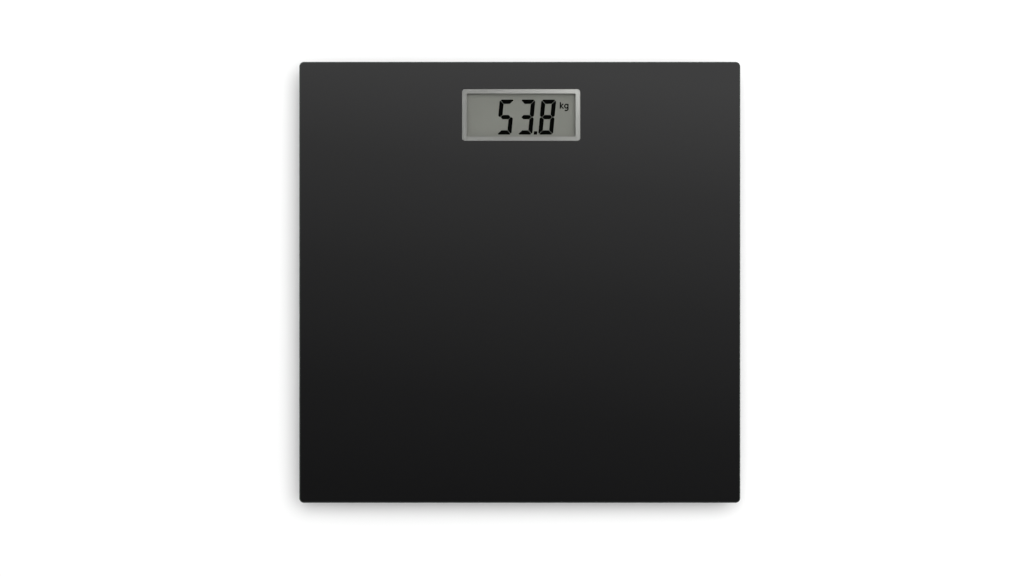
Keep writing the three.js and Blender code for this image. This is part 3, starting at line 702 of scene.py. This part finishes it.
def label_faces(shape):
    """A ruled border and rows of plain bars, with no lettering."""
    z = LABEL_LOW.z
    low = LABEL_LOW.to_2d() + Vector((LABEL["margin"], LABEL["margin"]))
    high = LABEL_HIGH.to_2d() - Vector((LABEL["margin"], LABEL["margin"]))
    size = high - low

    def bar(x0, y0, x1, y1):
        add_prism(shape, [(x0, y0), (x1, y0), (x1, y1), (x0, y1)], z - LABEL["thickness"], z)

    rule, half = LABEL["rule"], LABEL["bar"] / 2
    bar(low.x, low.y, high.x, low.y + rule)
    bar(low.x, high.y - rule, high.x, high.y)
    bar(low.x, low.y + rule, low.x + rule, high.y - rule)
    bar(high.x - rule, low.y + rule, high.x, high.y - rule)
    for row, ends in enumerate(ROW_ENDS):
        y = low.y + size.y * (row + 0.5) / len(ROW_ENDS)
        for start, stop in (ends[:2], ends[2:]):
            bar(low.x + start * size.x, y - half, low.x + stop * size.x, y + half)


label_print = mesh_piece("label_print", label_ink, BODY, label_faces)


# ---- Camera, floor and light ----

GLASS_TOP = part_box("glass_platform")[1].z
# The camera's height over the glass in metres; the platform's width, and how far its middle is
# off the picture's, as shares of the picture's width.
VIEW = {"height": 2.0, "share": 0.4308, "right": 0.0076, "up": 0.0055}
SENSOR_WIDTH = 36


def add_camera():
    """Straight above, a little left of the platform's middle and nearer its front edge."""
    size = cad_box[1] - cad_box[0]
    across = size.x / VIEW["share"]
    lens = bpy.data.cameras.new("camera")
    lens.sensor_width = SENSOR_WIDTH
    lens.lens = SENSOR_WIDTH * VIEW["height"] / across
    camera = bpy.data.objects.new("camera", lens)
    camera.location = (-VIEW["right"] * across, -VIEW["up"] * across, GLASS_TOP + VIEW["height"])
    scene.collection.objects.link(camera)
    scene.camera = camera


def add_plane(name, half, z):
    """A level square of the stage, which isn't part of the scale."""
    mesh = bpy.data.meshes.new(name)
    mesh.from_pydata([(x, y, 0) for x, y in square(half)], [], [(0, 1, 2, 3)])
    plane = bpy.data.objects.new(name, mesh)
    plane.location.z = z
    scene.collection.objects.link(plane)
    return plane


FLOOR_HALF = 8.0
FLOOR_WHITE = (0.79, 0.79, 0.79)


def add_floor():
    floor = add_plane("floor", FLOOR_HALF, 0.0)
    paper = Look("floor_paper", FLOOR_WHITE, 0.9, Specular_IOR_Level=0.1)
    floor.data.materials.append(paper.material)


CARD = {"height": 2.6, "half": 1.5, "turn": math.radians(-8), "strength": 1.35}
# The card's brightness from its front edge (0) to its rear edge (1).
CARD_STOPS = (
    (0.0, 0.06), (0.39, 0.085), (0.44, 0.15), (0.5, 0.30), (0.555, 0.50), (0.61, 0.83), (0.70, 1.0),
)


def add_card():
    """A large pale card over the camera, dark at one end, for the glass to reflect."""
    card = add_plane("gradient_card", CARD["half"], GLASS_TOP + CARD["height"])
    card.rotation_euler.z = CARD["turn"]
    material = bpy.data.materials.new("gradient_card")
    material.use_nodes = True
    nodes, links = material.node_tree.nodes, material.node_tree.links
    nodes.remove(nodes["Principled BSDF"])
    place = nodes.new("ShaderNodeTexCoord")
    split = nodes.new("ShaderNodeSeparateXYZ")
    along = nodes.new("ShaderNodeMapRange")
    along.inputs["From Min"].default_value = -CARD["half"]
    along.inputs["From Max"].default_value = CARD["half"]
    ramp = nodes.new("ShaderNodeValToRGB")
    set_stops(ramp, [(position, (value,) * 3) for position, value in CARD_STOPS])
    glow = nodes.new("ShaderNodeEmission")
    glow.inputs["Strength"].default_value = CARD["strength"]
    links.new(place.outputs["Object"], split.inputs[0])
    links.new(split.outputs["Y"], along.inputs["Value"])
    links.new(along.outputs["Result"], ramp.inputs["Fac"])
    links.new(ramp.outputs["Color"], glow.inputs["Color"])
    links.new(glow.outputs[0], nodes["Material Output"].inputs["Surface"])
    card.data.materials.append(material)


KEY = {"size": 2.85, "energy": 64, "place": (0.62, 0.68, 2.1)}
WORLD_STRENGTH = 0.58


def add_lights():
    """A broad soft key light over the rear right-hand side, and an even white world."""
    key = bpy.data.lights.new("key", "AREA")
    key.shape = "DISK"
    key.size = KEY["size"]
    key.energy = KEY["energy"]
    lamp = bpy.data.objects.new("key", key)
    lamp.location = KEY["place"]
    lamp.visible_glossy = False
    scene.collection.objects.link(lamp)
    world = bpy.data.worlds.new("studio")
    world.use_nodes = True
    background = world.node_tree.nodes["Background"]
    background.inputs["Color"].default_value = (1.0, 1.0, 1.0, 1.0)
    background.inputs["Strength"].default_value = WORLD_STRENGTH
    scene.world = world


add_camera()
add_floor()
add_card()
add_lights()
